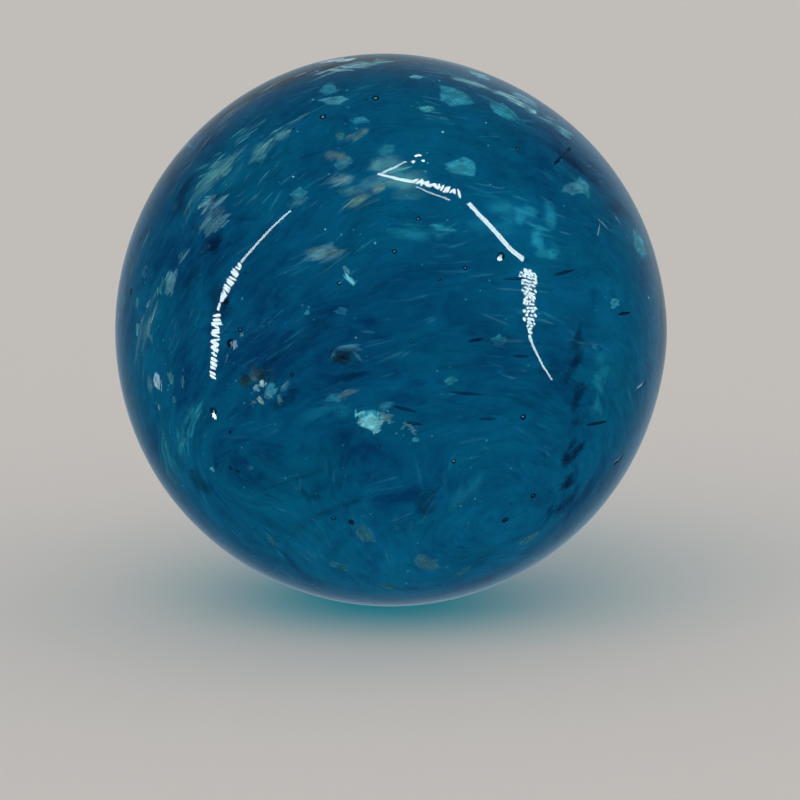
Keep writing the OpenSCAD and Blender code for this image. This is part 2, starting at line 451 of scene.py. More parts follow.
def makeGlassBall(form, bubbles):
    bm = bmesh.new()
    bmesh.ops.create_icosphere(bm, subdivisions=form["subdivisions"], radius=1)
    for nick in form["nicks"]:     # finer faces where a nick is cut
        middle = aim(nick[0], nick[1])
        reach = math.cos(nick[3] / ballRadius)
        for _ in range(2):
            near = [edge for edge in bm.edges if edge.verts[0].co.normalized().dot(middle) > reach]
            bmesh.ops.subdivide_edges(bm, edges=near, cuts=1, use_grid_fill=True)
    bmesh.ops.triangulate(bm, faces=[face for face in bm.faces if len(face.verts) > 3])
    for vert in bm.verts:
        out = vert.co.normalized()
        place = out * ballRadius
        height = swellAt(out, form) + sum(nickAt(place, out, nick) for nick in form["nicks"])
        vert.co = ballCentre + out * (ballRadius + height)
    for points, faces in bubbles:
        verts = [bm.verts.new(point) for point in points]
        for corners in faces:
            bm.faces.new([verts[k] for k in corners])
    for _ in range(form["seedBubbles"]):
        depth = rng.uniform(*form["seedDepths"])
        size = rng.uniform(*form["seedSizes"])
        made = bmesh.ops.create_icosphere(bm, subdivisions=2, radius=size)["verts"]
        bmesh.ops.translate(bm, verts=made, vec=under(randomAim(), depth))
        bmesh.ops.reverse_faces(bm, faces=list({face for vert in made for face in vert.link_faces}))
    mesh = meshOf(bm, "glassBall")
    places = [vert.co - ballCentre for vert in mesh.vertices]
    azimuth, elevation, reach = form["calmPatch"]
    patch = aim(azimuth, elevation)
    calms = [math.exp(-(math.degrees(place.angle(patch)) / reach) ** 4) for place in places]
    cloudsAndHighlight = [(aim(azimuth, elevation), reach, strength)
              for azimuth, elevation, reach, strength in form["cloudsAndHighlight"]]
    shades = [sum(strength * math.exp(-(math.degrees(place.angle(middle)) / reach) ** 2)
                  for middle, reach, strength in cloudsAndHighlight) for place in places]
    setValues(mesh, "grain", "FLOAT_VECTOR", "vector", [grainOf(place) for place in places])
    setValues(mesh, "calm", "FLOAT", "value", calms)
    setValues(mesh, "cloud", "FLOAT", "value", shades)
    mesh.shade_smooth()
    return placeMesh(mesh, makeGlass(form))


flakeShells = shellsOf(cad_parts["mica_flakes"])
flakeMiddles = np.array([(points.min(axis=0) + points.max(axis=0)) / 2 for points, faces in flakeShells])
bubbles = bubbleShells(flakeMiddles)
print("frame:", len(flakeShells), "flakes and", len(bubbles), "bubbles read")

ball = makeGlassBall(glassForm, bubbles)
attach(ball, "root")
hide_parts("glass_ball")
print("glass ball:", len(ball.data.polygons), "faces")

micaForm = {
    "roughness": 0.3,
    "edgeFade": (0.7, 1),
    "fibreLayer": (2.5, 4, 0.3, 0.7),
    "shade": (0.7, 1.2),     # darkest and lightest fibre
    "thin": 0.4,             # opacity of the thinnest fibre
    "rings": (0.0, 0.45, 0.8, 1.0),
    "thinning": 0.7,         # how much of its thickness a sheet loses towards its edge
    "corners": (8, 13),      # of a torn sheet
    "cornerStray": 0.35,
    # outlines: points, the nearest that a corner comes to the middle, and how rough the breaks are
    "sheetOutline": (30, 0.5, 0.08),
    "sliverOutline": (10, 0.7, 0.08),
    "sliverCorners": 5,
    "spread": 1.3,           # a flake runs out thin past the cut of its pocket
    "thickness": 0.02 * mm,
    "sheetStep": 0.7 * mm,   # one more sheet on a flake for each such length
    "moreSheets": 2,         # at most
    "sheetShift": 0.37,      # in the noise that folds and mottles, from one sheet to the next
    "sheetSize": (0.5, 0.8),             # of an upper sheet, against the lowest one
    "sheetOpacity": (0.7, 1),
    "sheetSlip": (0.5, 0.4, 0.05 * mm),  # how far it lies along, across and above the one below
    "sliverLength": (0.35, 0.9),
    "sliverWidth": (0.12, 0.28),
    "sliverOpacity": (0.6, 1.2),
    "sliverLane": (0.2, 0.8),            # where a sliver lies in its own lane of the flake
    "sliverShift": 0.11,
    "fold": 0.05 * mm,
    "foldSize": 0.4 * mm,
    "mottleSize": 0.16 * mm,
    "mottleGain": 1.6,
    # colour, opacity, crumple, mottle and slivers of the kinds of flake
    "kinds": {
        "plain": ((0.42, 0.55, 0.57), 0.68, 1, 0.35, 0),
        "bright": ((1, 1, 1), 1, 3, 0.35, 5),
        "cyan": ((0.52, 1, 1), 1, 2, 0.2, 4),
        "pale": ((0.52, 0.62, 0.6), 0.68, 1, 0.4, 3),
        "olive": ((0.38, 0.38, 0.32), 0.18, 1.5, 0.4, 7),
        "brown": ((0.34, 0.32, 0.26), 0.5, 1, 0.4, 3),
        "dark": ((0.12, 0.15, 0.14), 0.7, 3, 0.9, 0),
        "ghost": ((0.36, 0.52, 0.55), 0.4, 1, 0.4, 0),
        "film": ((0.5, 0.66, 0.68), 0.12, 1, 0.2, 0),
        "brush": ((0.5, 0.62, 0.58), 0.55, 1, 0.3, 9),
        "warm": ((1, 0.94, 0.78), 1, 3, 0.35, 2),
        "haze": ((0.44, 0.6, 0.52), 0.09, 1, 0.4, 0),
        "clear": ((0.48, 0.72, 0.74), 0.85, 1, 0.3, 0),
    },
    "otherReach": 2,         # degrees from its place below within which a flake is of another kind
    # flakes of other kinds: azimuth and elevation
    "others": {
        "cyan": [(-5, -9)],
        "dark": [(-33, -2), (-11, 4)],
        "bright": [(-29, -3), (-30, -6), (74, 57)],
        "pale": [(96, 71), (88, 61), (-55, -4), (-71, 4), (23, 69)],
        "ghost": [(-1, -7), (-61, -6), (-17, 66), (-60, 74), (-29, 42), (-17, 28), (-13, -6), (-16, 50)],
        "brown": [(-23, 60)],
        "haze": [(-2, 56), (1, 44)],
        "film": [(57, 35)],
        "clear": [(88, 20), (64, 11)],
        "brush": [(-69, 42)],
    },
    # patches of one kind: azimuth, elevation, reach
    "patches": {
        "film": (180, -10, 28),
        "brush": (-60, 35, 22),      # where the rolling broke them into slivers
    },
    # chips broken off them: azimuth, elevation, depth, half length, half width in mm, turn, kind
    "chips": [
        (-57, 16, 1, 0.7, 0.45, 75, "pale"), (-54, 22, 0.8, 0.5, 0.1, 65, "pale"),
        (-62, 6, 0.8, 0.5, 0.12, 85, "pale"), (-49, -4, 0.8, 0.35, 0.12, 80, "pale"),
        (-57, -5, 0.4, 0.5, 0.28, 88, "bright"), (-36, 69, 1.6, 0.8, 0.32, 14, "plain"),
        (-26, 38, 1.2, 0.65, 0.34, 12, "haze"), (-9, 21, 0.8, 0.45, 0.09, -50, "cyan"),
        (-29.5, 0, 1, 0.42, 0.32, 30, "brown"), (-27, -1.5, 0.4, 0.16, 0.18, 60, "warm"),
        (-22.5, -2, 1, 0.4, 0.18, 50, "ghost"), (-26.5, -4, 0.9, 0.26, 0.18, -40, "pale"),
        (-24, -5, 1, 0.16, 0.24, 10, "pale"), (-9, 6.5, 1.2, 0.72, 0.2, 5, "ghost"),
        (-7, 5, 1.2, 0.4, 0.1, -50, "ghost"), (-12, 5.5, 1.2, 0.3, 0.1, 60, "ghost"),
        (4, -10, 1.2, 0.36, 0.12, -30, "pale"), (5, -11.5, 1.2, 0.2, 0.14, 10, "pale"),
        (-4, -8.5, 0.35, 0.6, 0.46, 25, "cyan"), (-1, -8, 0.9, 0.4, 0.26, 15, "pale"),
        (-55, 34, 0.9, 0.6, 0.15, 42, "pale"), (-50, 35, 0.9, 0.6, 0.15, 48, "pale"),
        (-48, 30, 1.1, 0.9, 0.32, 50, "pale"), (-52, 30, 1.1, 0.6, 0.13, 50, "pale"),
        (-34, -22, 1.2, 0.24, 0.12, 20, "ghost"), (69, 60, 0.4, 0.4, 0.3, -35, "pale"),
        (-56, 77, 0.4, 0.7, 0.14, 20, "pale"), (-46, 80, 0.4, 0.8, 0.16, 20, "pale"),
        (-100, 78, 0.15, 0.7, 0.35, 95, "bright"), (-88, 81, 0.15, 0.5, 0.3, 90, "bright"),
        (-27.5, -5, 0.4, 0.28, 0.14, -55, "warm"), (-33.5, 6, 0.3, 0.26, 0.16, 80, "bright"),
        (-32, 8, 0.3, 0.12, 0.1, 20, "pale"), (-35.5, 3, 0.4, 0.3, 0.05, 70, "pale"),
        (-43.7, -22.6, 0.5, 0.16, 0.14, 0, "cyan"), (64, -7, 0.12, 0.42, 0.06, 14, "bright"),
        (62.5, -23, 0.12, 0.34, 0.05, 27, "bright"), (-15.5, 26.5, 0.7, 0.95, 0.28, 4, "olive"),
        (-1, 48, 0.9, 0.95, 0.7, 10, "haze"), (-11, 41, 0.9, 0.7, 0.35, 10, "haze"),
        (60, 37.5, 1.2, 1.1, 0.4, -4, "ghost"), (57, 27, 0.4, 0.5, 0.04, 40, "pale"),
        (60, 28, 0.4, 0.4, 0.04, -50, "pale"),
    ],
}


# The outline of a torn sheet of unit size: straight breaks between uneven corners
def tornOutline(corners, shape):
    count, inward, nibble = shape
    tips = []
    for k in range(corners):
        stray = micaForm["cornerStray"]
        turn = math.tau * (k + rng.uniform(-stray, stray)) / corners
        reach = rng.uniform(inward, 1)
        tips.append(Vector((reach * math.cos(turn), reach * math.sin(turn))))
    outline = []
    for k in range(count):
        share = corners * k / count
        n = int(share)
        outline.append(tips[n].lerp(tips[(n + 1) % corners], share - n) * rng.uniform(1 - nibble, 1))
    return outline


# A sheet lies to the curve of the ball; it fades out from a share of its reach to its edge
def addSheet(batch, outline, middle, axes, halfSize, finish, shift, fadeFrom=0):
    form = micaForm
    along, across, out = axes
    tint, opacity, crumple, mottle = finish
    count = len(outline)
    rows = []
    for side in (1, -1):
        for ring in form["rings"][::side]:
            row = []
            for k in range(count if ring else 1):
                x = halfSize[0] * ring * outline[k].x
                y = halfSize[1] * ring * outline[k].y
                flat = Vector((x, y, 0))
                ruck = noise.noise(flat / form["foldSize"] + Vector((0, 0, shift)))
                skin = side * form["thickness"] / 2 * (1 - form["thinning"] * ring)
                z = form["fold"] * crumple * ruck + skin - (x * x + y * y) / (2 * ballRadius)
                spot = noise.noise(flat / form["mottleSize"] + Vector((shift, 0, 0)))
                shade = 1 + mottle * form["mottleGain"] * spot
                colour = (*(level * shade for level in tint), opacity)
                place = middle + along * x + across * y + out * z
                edge = fadeFrom + (1 - fadeFrom) * ring
                row.append(batch.addPoint(place, colour, edge, (x / mm, shift, y / mm)))
            rows.append(row)
    batch.joinRings(rows)


# A flake lies where the CAD has it: its middle, its long axis, its short axis and its two half sizes
def flakeFrame(points):
    middle = (points.min(axis=0) + points.max(axis=0)) / 2
    spread = np.linalg.eigh(np.cov((points - middle).T))[1]
    out = Vector(spread[:, 0])
    if out.dot(Vector(middle)) < 0:
        out = -out
    along = Vector(spread[:, 2])
    across = out.cross(along)
    halfLength = np.ptp(points @ np.array(along)) / 2
    halfWidth = np.ptp(points @ np.array(across)) / 2
    return Vector(middle), (along, across, out), (halfLength, halfWidth)


def kindOf(middle, form):
    away = (middle - ballCentre).normalized()

    def near(azimuth, elevation, reach):
        return away.dot(aim(azimuth, elevation)) > math.cos(math.radians(reach))

    for kind, flakes in form["others"].items():
        if any(near(*flake, form["otherReach"]) for flake in flakes):
            return kind
    for kind, patch in form["patches"].items():
        if near(*patch):
            return kind
    return "plain"


def makeMica(form):
    material, tree = newMaterial("micaPearl")
    tint = attributeNode(tree, "tint")
    edge = attributeNode(tree, "edge")["Fac"]
    fibres = addFibres(tree, attributeNode(tree, "grain")["Vector"], form["fibreLayer"])
    dapple = rangeNode(tree, {"Value": fibres, "To Min": form["shade"][0], "To Max": form["shade"][1]})
    fade = rangeNode(tree, {"Value": edge, "From Min": form["edgeFade"][0], "From Max": form["edgeFade"][1],
                            "To Min": 1, "To Max": 0}, "SMOOTHSTEP")
    thin = rangeNode(tree, {"Value": fibres, "To Min": form["thin"]})
    held = mathNode(tree, "MULTIPLY", tint["Alpha"], fade)
    shader = addNode(tree, "ShaderNodeBsdfPrincipled", {
        "Base Color": mixNode(tree, 1, tint["Color"], dapple, "MULTIPLY"), "Roughness": form["roughness"],
        "Alpha": mathNode(tree, "MULTIPLY", held, thin, clamp=True)})
    addNode(tree, "ShaderNodeOutputMaterial", {"Surface": shader.outputs["BSDF"]})
    return material


micaPearl = makeMica(micaForm)


# The sheets and slivers of one flake
def addFlake(batch, form, middle, axes, halfSize, kind, number):
    along, across, out = axes
    halfLength, halfWidth = halfSize
    tint, opacity, crumple, mottle, slivers = form["kinds"][kind]
    slipAlong, slipAcross, slipOut = form["sheetSlip"]
    sheets = 0 if kind == "brush" else 1 + min(form["moreSheets"], int(2 * halfLength / form["sheetStep"]))
    for k in range(sheets):
        share = form["spread"] * (rng.uniform(*form["sheetSize"]) if k else 1)
        slip = (along * halfLength * rng.uniform(-slipAlong, slipAlong)
                + across * halfWidth * rng.uniform(-slipAcross, slipAcross)
                + out * slipOut) * k / form["moreSheets"]
        outline = tornOutline(rng.integers(*form["corners"]), form["sheetOutline"])
        finish = (tint, opacity * rng.uniform(*form["sheetOpacity"]), crumple, mottle)
        addSheet(batch, outline, middle + slip, axes, (halfLength * share, halfWidth * share),
                 finish, number + form["sheetShift"] * k)
    for k in range(slivers):
        lane = (k + rng.uniform(*form["sliverLane"])) / slivers * 2 - 1
        place = (middle + across * lane * halfWidth * form["spread"]
                 + along * halfLength * rng.uniform(-slipAlong, slipAlong)
                 + out * rng.uniform(-slipOut, slipOut))
        size = (halfLength * rng.uniform(*form["sliverLength"]),
                halfWidth * rng.uniform(*form["sliverWidth"]))
        outline = tornOutline(form["sliverCorners"], form["sliverOutline"])
        finish = (tint, opacity * rng.uniform(*form["sliverOpacity"]), crumple, mottle)
        addSheet(batch, outline, place, axes, size, finish, number + form["sliverShift"] * k)


batch = Batch()
flakeFrames = [flakeFrame(points) for points, faces in flakeShells]
for number, (middle, axes, halfSize) in enumerate(flakeFrames):
    addFlake(batch, micaForm, middle, axes, halfSize, kindOf(middle, micaForm), number)
for azimuth, elevation, depth, halfLength, halfWidth, turn, kind in micaForm["chips"]:
    out = aim(azimuth, elevation)
    axes = (*alongAndAcross(out, turn), out)
    halfSize = (halfLength * mm, halfWidth * mm)
    addFlake(batch, micaForm, under(out, depth * mm), axes, halfSize, kind, elevation)
flakes = batch.makePiece("micaFlakes")
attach(flakes, "root")
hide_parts("mica_flakes")
print("mica flakes:", len(flakes.data.polygons), "faces")

dustForm = {
    "specks": 900,
    "sides": 6,
    "squash": (0.3, 0.9),    # width of a speck against its length
    "rimHeight": 0.12,
    "tipHeight": 0.3,
    "raggedness": (0.7, 1),
    "opacity": (0.3, 1),
    "crumbs": 3,             # beside each flake
    "crumbReach": 2,         # how far off they lie, against the size of the flake
    "crumbGap": 0.1 * mm,
    "crumbOpacity": (0.3, 0.9),
    "bubbleGlint": 0.75,     # size of the white speck painted in each round bubble as its glint, against the bubble
    "sizes": (0.015 * mm, 0.07 * mm),
    "depths": (0.3 * mm, 5 * mm),
    "pale": (0.8, 0.9, 0.88),
    "ash": (0.01, 0.008, 0.008),
    # grains of ash: azimuth, elevation, depth, half size
    "ashGrains": [
        (-15, 70, 1.5, 0.11), (-36, -13, 0.5, 0.12), (-38, -21.5, 0.5, 0.13), (-36, -22, 0.5, 0.11),
        (-9.5, -33, 0.5, 0.22), (30, -34, 0.5, 0.2), (17, -22, 2, 0.06), (110, 20, 1, 0.1),
        (150, -20, 1.5, 0.1), (-130, 10, 1.2, 0.1), (-160, 45, 1.6, 0.08), (70, -45, 1.4, 0.1),
    ],
}


def addSpeck(batch, middle, out, size, tint, opacity, shift=0):
    along = flowAlong(out.normalized())
    across = out.cross(along)
    squash = rng.uniform(*dustForm["squash"])
    rows = []
    for ring, side in ((0, 1), (1, 1), (1, -1), (0, -1)):
        row = []
        for k in range(dustForm["sides"] if ring else 1):
            angle = math.tau * k / dustForm["sides"]
            x = size * ring * math.cos(angle) * rng.uniform(*dustForm["raggedness"])
            y = size * ring * squash * math.sin(angle)
            z = side * size * (dustForm["rimHeight"] if ring else dustForm["tipHeight"])
            row.append(batch.addPoint(middle + along * x + across * y + out * z,
                                      (*tint, opacity), 0.0, (x / mm, y / mm, shift)))
        rows.append(row)
    batch.joinRings(rows)


batch = Batch()
for number in range(dustForm["specks"]):
    low, high = dustForm["depths"]
    out = randomAim()
    depth = low + (high - low) * rng.random() ** 2
    size = dustForm["sizes"][0] + np.ptp(dustForm["sizes"]) * rng.random() ** 3
    opacity = rng.uniform(*dustForm["opacity"])
    addSpeck(batch, under(out, depth), out, size, dustForm["pale"], opacity, number)
for azimuth, elevation, depth, size in dustForm["ashGrains"]:
    out = aim(azimuth, elevation)
    addSpeck(batch, under(out, depth * mm), out, size * mm, dustForm["ash"], 1.0)
for middle, (along, across, out), (halfLength, halfWidth) in flakeFrames:
    for _ in range(dustForm["crumbs"]):
        reach = dustForm["crumbReach"]
        place = (middle + along * halfLength * rng.uniform(-reach, reach)
                 + across * (halfWidth + dustForm["crumbGap"]) * rng.uniform(-reach, reach))
        size = rng.uniform(*dustForm["sizes"])
        addSpeck(batch, place, out, size, dustForm["pale"], rng.uniform(*dustForm["crumbOpacity"]))
# painted glint: a white speck in the middle of each round bubble stands in for the lamps' reflection in it
for points, faces in bubbles:
    sizes = np.ptp(points, axis=0)
    if sizes.max() < glassForm["drawnOut"] * sizes.min():
        middle = Vector((points.min(axis=0) + points.max(axis=0)) / 2)
        out = (middle - ballCentre).normalized()
        addSpeck(batch, middle, out, sizes.max() / 2 * dustForm["bubbleGlint"], (1, 1, 1), 1.0)
dustAndGlints = batch.makePiece("micaDustAndGlints")
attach(dustAndGlints, "root")
print("mica dust:", len(dustAndGlints.data.polygons), "faces")

streakForm = {
    "count": 5200,
    "clusterSize": 3.0 * mm,
    "clusterNoise": (1, 2, 3),    # its fall-off, its step in scale and its octaves
    "thinOut": (0, 0.5),          # the weaker the cluster, the more of its streaks are left out
    "fading": (0.4, 1),
    "length": (0.3, 1.8),     # mm
    "width": (0.05, 0.20),    # mm
    "core": 0.55,             # how far the middle of a streak is on its way to fading out
    "depths": (0.15, 2.5),    # mm
    "wander": 8,              # degrees off the flow
    "steps": 4,
    "tip": 0.15,              # width at the ends, against the middle
    "flatness": 0.25,
    "tints": {
        "pale": ((0.36, 0.68, 0.74), 0.11),
        "deep": ((0.0, 0.02, 0.05), 0.15),
    },
    "clearPatch": (180, -10, 20),     # the bare glass at the back: azimuth, elevation, reach
}


# A flat thread of drawn glass or crushed mica that follows the flow below the skin
def addStreak(batch, form, out, depth, length, width, tint, opacity, shift):
    steps = form["steps"]
    rows = []
    reach = ballRadius - depth
    stray = math.radians(rng.uniform(-form["wander"], form["wander"]))
    along = flowAlong(out)
    along = along * math.cos(stray) + out.cross(along) * math.sin(stray)
    for k in range(steps + 1):
        share = k / steps
        across = out.cross(along).normalized()
        half = width / 2 * (1.0 if 0 < k < steps else form["tip"])
        middle = ballCentre + out * reach
        row = []
        for x, z in ((1, 0), (0, form["flatness"]), (-1, 0), (0, -form["flatness"])):
            place = middle + across * half * x + out * half * z
            edge = 1 if x else max(form["core"], abs(2 * share - 1))
            row.append(batch.addPoint(place, (*tint, opacity), edge,
                                      (length * share / mm, shift, half * x / mm)))
        rows.append(row)
        out = (out + along * (length / steps / reach)).normalized()
        along = (along - out * along.dot(out)).normalized()
    for lower, upper in zip(rows, rows[1:]):
        for k in range(4):
            batch.faces.append([lower[k], lower[(k + 1) % 4], upper[(k + 1) % 4], upper[k]])
    batch.faces.append(rows[0][::-1])
    batch.faces.append(rows[-1])


batch = Batch()
clearMiddle = aim(*streakForm["clearPatch"][:2])
clearReach = math.cos(math.radians(streakForm["clearPatch"][2]))
for number in range(streakForm["count"]):
    out = randomAim()
    if out.dot(clearMiddle) > clearReach:
        continue
    cluster = noise.fractal(out * (ballRadius / streakForm["clusterSize"]), *streakForm["clusterNoise"])
    if abs(cluster) < rng.uniform(*streakForm["thinOut"]):
        continue
    depth = rng.uniform(*streakForm["depths"]) * mm
    tint, opacity = streakForm["tints"]["pale" if cluster > 0 else "deep"]
    length = rng.uniform(*streakForm["length"]) * mm
    width = rng.uniform(*streakForm["width"]) * mm
    opacity *= rng.uniform(*streakForm["fading"])
    addStreak(batch, streakForm, out, depth, length, width, tint, opacity, number)
streaks = batch.makePiece("flowStreaks")
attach(streaks, "root")
print("flow streaks:", len(streaks.data.polygons), "faces")

driftForm = {
    "sliverWidth": (0.05, 0.14),    # mm
    "sliverLength": (0.3, 1.4),
    "sliverDepth": (-0.2, 0.3),     # from the middle of the drift
    "sliverOpacity": (0.4, 1.2),
    "splinterWidth": (0.08, 0.20),
    "splinterLength": (0.4, 1.1),
    "splinterOutline": (16, 0.6, 0.2),
    "splinterCorners": 7,
    "splinterFade": 0.3,
    "splinterDepth": (-0.2, 0.1),
    "splinterOpacity": (0.4, 1.1),
    "splinterFinish": (1, 0.5),     # crumple and mottle
    "hazeSheets": 4,
    "hazeStep": 0.15,               # from one sheet of a haze to the one below
    "hazeOutline": (30, 0.5, 0.2),
    "hazeCorners": 12,
    "hazeFade": 0.6,
    "hazeSize": (0.6, 1.1),
    "hazeOpacity": (0.6, 1),
    "hazeFinish": (0.5, 0.3),
    # how far its slivers, splinters and hazes stray from the middle of a drift, against its size
    "sliverStray": 0.35,
    "splinterStray": 0.3,
    "hazeStray": 0.3,
    # colour, then opacity of a sliver and of a splinter
    "tints": {
        "deep": ((0, 0.02, 0.06), 0.08, 0.2),
        "green": ((0.32, 0.5, 0.45), 0.12, 0.5),
        "grey": ((0.4, 0.46, 0.46), 0.1, 0.45),
        "teal": ((0.08, 0.6, 0.66), 0.12, 0.45),
        "olive": ((0.4, 0.42, 0.3), 0.12, 0.5),
        "brown": ((0.34, 0.3, 0.24), 0.1, 0.4),
        "bright": ((0.56, 0.72, 0.66), 0.18, 0.6),
        "rim": ((0, 0.03, 0.06), 0.25, 0.3),
        "rimPale": ((0.44, 0.6, 0.62), 0.22, 0.4),
    },
    # drifts of crushed mica, some of them dark haze painted as shadow: azimuth, elevation, depth, length,
    # width in mm, slivers, splinters, haze, tint
    "driftsAndShadow": [
        (-56, 41, 0.6, 3.4, 1.6, 50, 10, 0.4, "green"),
        (-44, 52, 0.7, 2.4, 1.4, 20, 6, 0.3, "green"),
        (-49, 31, 0.5, 1.6, 1.6, 10, 5, 0.15, "grey"),
        (-66, 33, 0.7, 3, 1.4, 30, 0, 0.4, "deep"),
        (66, 44, 0.6, 3.6, 1.4, 40, 4, 0.4, "deep"),
        (76, 28, 0.6, 3.6, 1.2, 40, 4, 0.35, "deep"),
        (-47, 22, 0.8, 3.4, 1.8, 30, 0, 0.5, "deep"),
        (-42, 12, 0.8, 2.6, 2.2, 20, 0, 0.3, "deep"),
        (-76, 42, 0.25, 4.5, 1, 60, 4, 0.25, "rim"),
        (-82, 58, 0.25, 4.5, 1, 60, 4, 0.25, "rim"),
        (-77, 22, 0.25, 4.5, 1, 60, 4, 0.2, "rim"),
        (-74, 48, 0.2, 5, 1, 30, 3, 0, "rimPale"),
        (-80, 66, 0.2, 5, 1, 30, 3, 0, "rimPale"),
        (-77, 12, 0.2, 5, 1, 30, 3, 0, "rimPale"),
        (-50, 82, 0.3, 3.4, 0.8, 30, 6, 0.5, "bright"),
        (56, 73, 0.35, 3, 0.9, 14, 2, 0.42, "bright"),
        (69, 61, 0.35, 3, 0.9, 14, 3, 0.5, "bright"),
        (76, 52, 0.4, 2.4, 0.7, 14, 2, 0.34, "green"),
        (110, 75, 0.4, 4, 1, 60, 8, 0.4, "green"),
        (0, 46, 0.6, 1.8, 1.2, 10, 1, 0.24, "green"),
        (7, 43, 0.7, 2.6, 1.8, 0, 0, 0.22, "green"),
        (-3, 42, 0.7, 2.4, 1.4, 0, 0, 0.15, "green"),
        (-5, 40, 0.6, 2.4, 0.8, 10, 2, 0.35, "olive"),
        (-12, 56, 0.8, 1.3, 0.8, 0, 0, 0.4, "brown"),
        (-18, 50, 0.8, 1, 1.2, 0, 0, 0.4, "brown"),
        (-14, 44, 0.7, 1.2, 0.7, 10, 2, 0.3, "grey"),
        (-14, 26, 0.7, 1.6, 0.5, 10, 1, 0.2, "grey"),
        (-27, -1, 0.9, 1.4, 1, 0, 0, 0.14, "green"),
        # painted shadow: the next four dark drifts lie beside the bright cluster and the dark ring-shaped
        # flake, where their shade falls
        (-26, 1, 0.9, 2, 1.2, 0, 0, 0.4, "deep"),
        (-23, -5, 0.9, 1.6, 1, 0, 0, 0.35, "deep"),
        (-9, 4, 0.8, 1.7, 1.3, 0, 0, 0.25, "deep"),
        (-7, 1, 0.9, 1.6, 0.9, 0, 0, 0.3, "deep"),
        (-10, -3, 0.8, 0.8, 0.6, 0, 2, 0.2, "grey"),
        (36, 33, 0.6, 1.4, 1.2, 0, 0, 0.15, "teal"),
        (37, 29, 0.6, 1.3, 1.2, 0, 1, 0.15, "teal"),
        (39, 25, 0.6, 1.4, 1.1, 0, 0, 0.15, "teal"),
        (27, 34, 0.8, 2.8, 1.8, 0, 0, 0.09, "teal"),
        (51, -2, 0.8, 1.6, 1.5, 0, 0, 0.18, "teal"),
        (51, -8, 0.8, 1.6, 1.5, 0, 0, 0.2, "teal"),
        (43, 6, 0.7, 1.1, 1.7, 0, 0, 0.42, "deep"),
        (43, 0, 0.7, 1.1, 1.7, 0, 0, 0.52, "deep"),
        (44, -6, 0.7, 1.1, 1.7, 0, 0, 0.5, "deep"),
        (44, -13, 0.7, 1.1, 1.7, 0, 0, 0.25, "deep"),
        (45, -20, 0.7, 1.2, 1.8, 0, 0, 0.65, "deep"),
        (47, -27, 0.7, 1.3, 1.6, 0, 0, 0.52, "deep"),
        (48, -33, 0.7, 1.3, 1.6, 0, 0, 0.32, "deep"),
        (-47, -12, 0.4, 2.4, 0.8, 40, 6, 0.32, "teal"),
        (-52, -17, 0.4, 2, 0.8, 30, 5, 0.34, "teal"),
        (-61, -25, 0.4, 2.8, 1, 40, 7, 0.5, "teal"),
        (-52, -27, 0.8, 2.2, 1.4, 0, 2, 0.35, "deep"),
        (-19, -26, 0.8, 1.6, 1.2, 0, 2, 0.3, "deep"),
        (9, -29, 0.9, 2.4, 1.4, 0, 3, 0.3, "deep"),
        (-14, -8, 1, 2.4, 1.2, 0, 0, 0.14, "teal"),
        (20, -26, 1, 2.4, 1.8, 0, 0, 0.12, "teal"),
        (-63, 5, 0.4, 3.5, 1, 50, 5, 0.15, "grey"),
        (-18, 10, 0.8, 3.6, 1.6, 20, 0, 0.2, "deep"),
        (8, 32, 0.8, 3, 1.4, 10, 2, 0.12, "teal"),
        (120, 30, 0.8, 4, 1.6, 50, 10, 0.35, "green"),
        (-120, 20, 0.8, 4, 1.6, 50, 10, 0.35, "grey"),
        (150, -35, 0.8, 4, 1.6, 50, 10, 0.35, "teal"),
        (-150, 40, 0.8, 4, 1.6, 50, 10, 0.35, "green"),
        (90, -20, 0.8, 4, 1.6, 50, 10, 0.3, "grey"),
        (-90, -30, 0.8, 4, 1.6, 50, 10, 0.3, "teal"),
        (105, 5, 0.8, 3, 1.6, 40, 5, 0.3, "deep"),
        (-110, -5, 0.8, 3, 1.6, 40, 5, 0.3, "deep"),
    ],
}


